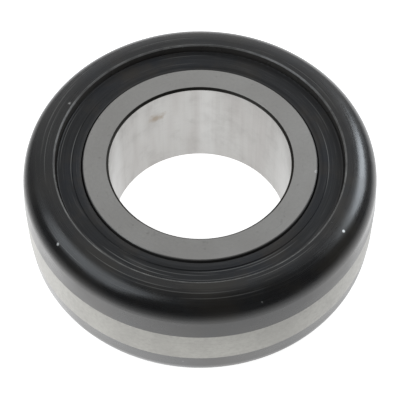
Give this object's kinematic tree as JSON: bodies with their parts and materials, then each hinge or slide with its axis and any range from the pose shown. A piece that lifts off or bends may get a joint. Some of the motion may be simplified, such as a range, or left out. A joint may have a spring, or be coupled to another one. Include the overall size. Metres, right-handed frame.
{
  "type": "cam follower",
  "caption": "Sealed ball-bearing cam follower: a thick rounded outer ring rolls round a plain-bored inner ring, which is clamped on a stud or axle.",
  "frame": {"origin": "centre of the outer ring's lower side face, on the bearing's axis", "axes": "+Z along the bearing's axis, through the bore; the row lies flat as in the picture"},
  "size_m": [0.1176, 0.1176, 0.042],
  "materials": {
    "ring_steel": "ground",
    "roller_steel": "black oxide with a ground tread",
    "seal_rubber": "moulded",
    "washer_steel": "pressed",
    "cage_polyamide": "moulded polyamide",
    "ball_steel": "polished"
  },
  "bodies": {
    "inner_race": {"inner_ring": "ring_steel"},
    "roller": {"outer_ring": "roller_steel", "upper_seal": "seal_rubber", "lower_seal": "seal_rubber", "upper_seal_washer": "washer_steel", "lower_seal_washer": "washer_steel"},
    "upper_cage": {"upper_cage": "cage_polyamide"},
    "lower_cage": {"lower_cage": "cage_polyamide"},
    "upper_ball_01": {"upper_ball_01": "ball_steel"},
    "upper_ball_02": {"upper_ball_02": "ball_steel"},
    "upper_ball_03": {"upper_ball_03": "ball_steel"},
    "upper_ball_04": {"upper_ball_04": "ball_steel"},
    "upper_ball_05": {"upper_ball_05": "ball_steel"},
    "upper_ball_06": {"upper_ball_06": "ball_steel"},
    "upper_ball_07": {"upper_ball_07": "ball_steel"},
    "upper_ball_08": {"upper_ball_08": "ball_steel"},
    "upper_ball_09": {"upper_ball_09": "ball_steel"},
    "upper_ball_10": {"upper_ball_10": "ball_steel"},
    "upper_ball_11": {"upper_ball_11": "ball_steel"},
    "upper_ball_12": {"upper_ball_12": "ball_steel"},
    "upper_ball_13": {"upper_ball_13": "ball_steel"},
    "upper_ball_14": {"upper_ball_14": "ball_steel"},
    "upper_ball_15": {"upper_ball_15": "ball_steel"},
    "upper_ball_16": {"upper_ball_16": "ball_steel"},
    "lower_ball_01": {"lower_ball_01": "ball_steel"},
    "lower_ball_02": {"lower_ball_02": "ball_steel"},
    "lower_ball_03": {"lower_ball_03": "ball_steel"},
    "lower_ball_04": {"lower_ball_04": "ball_steel"},
    "lower_ball_05": {"lower_ball_05": "ball_steel"},
    "lower_ball_06": {"lower_ball_06": "ball_steel"},
    "lower_ball_07": {"lower_ball_07": "ball_steel"},
    "lower_ball_08": {"lower_ball_08": "ball_steel"},
    "lower_ball_09": {"lower_ball_09": "ball_steel"},
    "lower_ball_10": {"lower_ball_10": "ball_steel"},
    "lower_ball_11": {"lower_ball_11": "ball_steel"},
    "lower_ball_12": {"lower_ball_12": "ball_steel"},
    "lower_ball_13": {"lower_ball_13": "ball_steel"},
    "lower_ball_14": {"lower_ball_14": "ball_steel"},
    "lower_ball_15": {"lower_ball_15": "ball_steel"},
    "lower_ball_16": {"lower_ball_16": "ball_steel"}
  },
  "joints": [
    {"name": "outer_ring_spin", "type": "hinge", "parent": "inner_race", "child": "roller", "pos_m": [0, 0, 0.021], "axis": [0, 0, 1], "continuous": true},
    {"name": "upper_cage_spin", "type": "hinge", "parent": "inner_race", "child": "upper_cage", "pos_m": [0, 0, 0.021], "axis": [0, 0, 1], "continuous": true},
    {"name": "lower_cage_spin", "type": "hinge", "parent": "inner_race", "child": "lower_cage", "pos_m": [0, 0, 0.021], "axis": [0, 0, 1], "continuous": true},
    {"name": "upper_ball_01_spin", "type": "hinge", "parent": "upper_cage", "child": "upper_ball_01", "pos_m": [0.0425, 0, 0.0282], "axis": [0.5, 0, 0.866], "continuous": true},
    {"name": "upper_ball_02_spin", "type": "hinge", "parent": "upper_cage", "child": "upper_ball_02", "pos_m": [0.03926, 0.01626, 0.0282], "axis": [0.4619, 0.1913, 0.866], "continuous": true},
    {"name": "upper_ball_03_spin", "type": "hinge", "parent": "upper_cage", "child": "upper_ball_03", "pos_m": [0.03005, 0.03005, 0.0282], "axis": [0.3536, 0.3536, 0.866], "continuous": true},
    {"name": "upper_ball_04_spin", "type": "hinge", "parent": "upper_cage", "child": "upper_ball_04", "pos_m": [0.01626, 0.03926, 0.0282], "axis": [0.1913, 0.4619, 0.866], "continuous": true},
    {"name": "upper_ball_05_spin", "type": "hinge", "parent": "upper_cage", "child": "upper_ball_05", "pos_m": [0, 0.0425, 0.0282], "axis": [0, 0.5, 0.866], "continuous": true},
    {"name": "upper_ball_06_spin", "type": "hinge", "parent": "upper_cage", "child": "upper_ball_06", "pos_m": [-0.01626, 0.03926, 0.0282], "axis": [-0.1913, 0.4619, 0.866], "continuous": true},
    {"name": "upper_ball_07_spin", "type": "hinge", "parent": "upper_cage", "child": "upper_ball_07", "pos_m": [-0.03005, 0.03005, 0.0282], "axis": [-0.3536, 0.3536, 0.866], "continuous": true},
    {"name": "upper_ball_08_spin", "type": "hinge", "parent": "upper_cage", "child": "upper_ball_08", "pos_m": [-0.03926, 0.01626, 0.0282], "axis": [-0.4619, 0.1913, 0.866], "continuous": true},
    {"name": "upper_ball_09_spin", "type": "hinge", "parent": "upper_cage", "child": "upper_ball_09", "pos_m": [-0.0425, 0, 0.0282], "axis": [-0.5, 0, 0.866], "continuous": true},
    {"name": "upper_ball_10_spin", "type": "hinge", "parent": "upper_cage", "child": "upper_ball_10", "pos_m": [-0.03926, -0.01626, 0.0282], "axis": [-0.4619, -0.1913, 0.866], "continuous": true},
    {"name": "upper_ball_11_spin", "type": "hinge", "parent": "upper_cage", "child": "upper_ball_11", "pos_m": [-0.03005, -0.03005, 0.0282], "axis": [-0.3536, -0.3536, 0.866], "continuous": true},
    {"name": "upper_ball_12_spin", "type": "hinge", "parent": "upper_cage", "child": "upper_ball_12", "pos_m": [-0.01626, -0.03926, 0.0282], "axis": [-0.1913, -0.4619, 0.866], "continuous": true},
    {"name": "upper_ball_13_spin", "type": "hinge", "parent": "upper_cage", "child": "upper_ball_13", "pos_m": [0, -0.0425, 0.0282], "axis": [0, -0.5, 0.866], "continuous": true},
    {"name": "upper_ball_14_spin", "type": "hinge", "parent": "upper_cage", "child": "upper_ball_14", "pos_m": [0.01626, -0.03926, 0.0282], "axis": [0.1913, -0.4619, 0.866], "continuous": true},
    {"name": "upper_ball_15_spin", "type": "hinge", "parent": "upper_cage", "child": "upper_ball_15", "pos_m": [0.03005, -0.03005, 0.0282], "axis": [0.3536, -0.3536, 0.866], "continuous": true},
    {"name": "upper_ball_16_spin", "type": "hinge", "parent": "upper_cage", "child": "upper_ball_16", "pos_m": [0.03926, -0.01626, 0.0282], "axis": [0.4619, -0.1913, 0.866], "continuous": true},
    {"name": "lower_ball_01_spin", "type": "hinge", "parent": "lower_cage", "child": "lower_ball_01", "pos_m": [0.04168, 0.00829, 0.0138], "axis": [-0.4904, -0.0975, 0.866], "continuous": true},
    {"name": "lower_ball_02_spin", "type": "hinge", "parent": "lower_cage", "child": "lower_ball_02", "pos_m": [0.03534, 0.02361, 0.0138], "axis": [-0.4157, -0.2778, 0.866], "continuous": true},
    {"name": "lower_ball_03_spin", "type": "hinge", "parent": "lower_cage", "child": "lower_ball_03", "pos_m": [0.02361, 0.03534, 0.0138], "axis": [-0.2778, -0.4157, 0.866], "continuous": true},
    {"name": "lower_ball_04_spin", "type": "hinge", "parent": "lower_cage", "child": "lower_ball_04", "pos_m": [0.00829, 0.04168, 0.0138], "axis": [-0.0975, -0.4904, 0.866], "continuous": true},
    {"name": "lower_ball_05_spin", "type": "hinge", "parent": "lower_cage", "child": "lower_ball_05", "pos_m": [-0.00829, 0.04168, 0.0138], "axis": [0.0975, -0.4904, 0.866], "continuous": true},
    {"name": "lower_ball_06_spin", "type": "hinge", "parent": "lower_cage", "child": "lower_ball_06", "pos_m": [-0.02361, 0.03534, 0.0138], "axis": [0.2778, -0.4157, 0.866], "continuous": true},
    {"name": "lower_ball_07_spin", "type": "hinge", "parent": "lower_cage", "child": "lower_ball_07", "pos_m": [-0.03534, 0.02361, 0.0138], "axis": [0.4157, -0.2778, 0.866], "continuous": true},
    {"name": "lower_ball_08_spin", "type": "hinge", "parent": "lower_cage", "child": "lower_ball_08", "pos_m": [-0.04168, 0.00829, 0.0138], "axis": [0.4904, -0.0975, 0.866], "continuous": true},
    {"name": "lower_ball_09_spin", "type": "hinge", "parent": "lower_cage", "child": "lower_ball_09", "pos_m": [-0.04168, -0.00829, 0.0138], "axis": [0.4904, 0.0975, 0.866], "continuous": true},
    {"name": "lower_ball_10_spin", "type": "hinge", "parent": "lower_cage", "child": "lower_ball_10", "pos_m": [-0.03534, -0.02361, 0.0138], "axis": [0.4157, 0.2778, 0.866], "continuous": true},
    {"name": "lower_ball_11_spin", "type": "hinge", "parent": "lower_cage", "child": "lower_ball_11", "pos_m": [-0.02361, -0.03534, 0.0138], "axis": [0.2778, 0.4157, 0.866], "continuous": true},
    {"name": "lower_ball_12_spin", "type": "hinge", "parent": "lower_cage", "child": "lower_ball_12", "pos_m": [-0.00829, -0.04168, 0.0138], "axis": [0.0975, 0.4904, 0.866], "continuous": true},
    {"name": "lower_ball_13_spin", "type": "hinge", "parent": "lower_cage", "child": "lower_ball_13", "pos_m": [0.00829, -0.04168, 0.0138], "axis": [-0.0975, 0.4904, 0.866], "continuous": true},
    {"name": "lower_ball_14_spin", "type": "hinge", "parent": "lower_cage", "child": "lower_ball_14", "pos_m": [0.02361, -0.03534, 0.0138], "axis": [-0.2778, 0.4157, 0.866], "continuous": true},
    {"name": "lower_ball_15_spin", "type": "hinge", "parent": "lower_cage", "child": "lower_ball_15", "pos_m": [0.03534, -0.02361, 0.0138], "axis": [-0.4157, 0.2778, 0.866], "continuous": true},
    {"name": "lower_ball_16_spin", "type": "hinge", "parent": "lower_cage", "child": "lower_ball_16", "pos_m": [0.04168, -0.00829, 0.0138], "axis": [-0.4904, 0.0975, 0.866], "continuous": true}
  ],
  "couplings": [
    {"joint": "upper_cage_spin", "follows": "outer_ring_spin", "ratio": 0.5647},
    {"joint": "lower_cage_spin", "follows": "outer_ring_spin", "ratio": 0.5647},
    {"joint": "upper_ball_01_spin", "follows": "outer_ring_spin", "ratio": 3.2904},
    {"joint": "upper_ball_02_spin", "follows": "outer_ring_spin", "ratio": 3.2904},
    {"joint": "upper_ball_03_spin", "follows": "outer_ring_spin", "ratio": 3.2904},
    {"joint": "upper_ball_04_spin", "follows": "outer_ring_spin", "ratio": 3.2904},
    {"joint": "upper_ball_05_spin", "follows": "outer_ring_spin", "ratio": 3.2904},
    {"joint": "upper_ball_06_spin", "follows": "outer_ring_spin", "ratio": 3.2904},
    {"joint": "upper_ball_07_spin", "follows": "outer_ring_spin", "ratio": 3.2904},
    {"joint": "upper_ball_08_spin", "follows": "outer_ring_spin", "ratio": 3.2904},
    {"joint": "upper_ball_09_spin", "follows": "outer_ring_spin", "ratio": 3.2904},
    {"joint": "upper_ball_10_spin", "follows": "outer_ring_spin", "ratio": 3.2904},
    {"joint": "upper_ball_11_spin", "follows": "outer_ring_spin", "ratio": 3.2904},
    {"joint": "upper_ball_12_spin", "follows": "outer_ring_spin", "ratio": 3.2904},
    {"joint": "upper_ball_13_spin", "follows": "outer_ring_spin", "ratio": 3.2904},
    {"joint": "upper_ball_14_spin", "follows": "outer_ring_spin", "ratio": 3.2904},
    {"joint": "upper_ball_15_spin", "follows": "outer_ring_spin", "ratio": 3.2904},
    {"joint": "upper_ball_16_spin", "follows": "outer_ring_spin", "ratio": 3.2904},
    {"joint": "lower_ball_01_spin", "follows": "outer_ring_spin", "ratio": 3.2904},
    {"joint": "lower_ball_02_spin", "follows": "outer_ring_spin", "ratio": 3.2904},
    {"joint": "lower_ball_03_spin", "follows": "outer_ring_spin", "ratio": 3.2904},
    {"joint": "lower_ball_04_spin", "follows": "outer_ring_spin", "ratio": 3.2904},
    {"joint": "lower_ball_05_spin", "follows": "outer_ring_spin", "ratio": 3.2904},
    {"joint": "lower_ball_06_spin", "follows": "outer_ring_spin", "ratio": 3.2904},
    {"joint": "lower_ball_07_spin", "follows": "outer_ring_spin", "ratio": 3.2904},
    {"joint": "lower_ball_08_spin", "follows": "outer_ring_spin", "ratio": 3.2904},
    {"joint": "lower_ball_09_spin", "follows": "outer_ring_spin", "ratio": 3.2904},
    {"joint": "lower_ball_10_spin", "follows": "outer_ring_spin", "ratio": 3.2904},
    {"joint": "lower_ball_11_spin", "follows": "outer_ring_spin", "ratio": 3.2904},
    {"joint": "lower_ball_12_spin", "follows": "outer_ring_spin", "ratio": 3.2904},
    {"joint": "lower_ball_13_spin", "follows": "outer_ring_spin", "ratio": 3.2904},
    {"joint": "lower_ball_14_spin", "follows": "outer_ring_spin", "ratio": 3.2904},
    {"joint": "lower_ball_15_spin", "follows": "outer_ring_spin", "ratio": 3.2904},
    {"joint": "lower_ball_16_spin", "follows": "outer_ring_spin", "ratio": 3.2904}
  ]
}
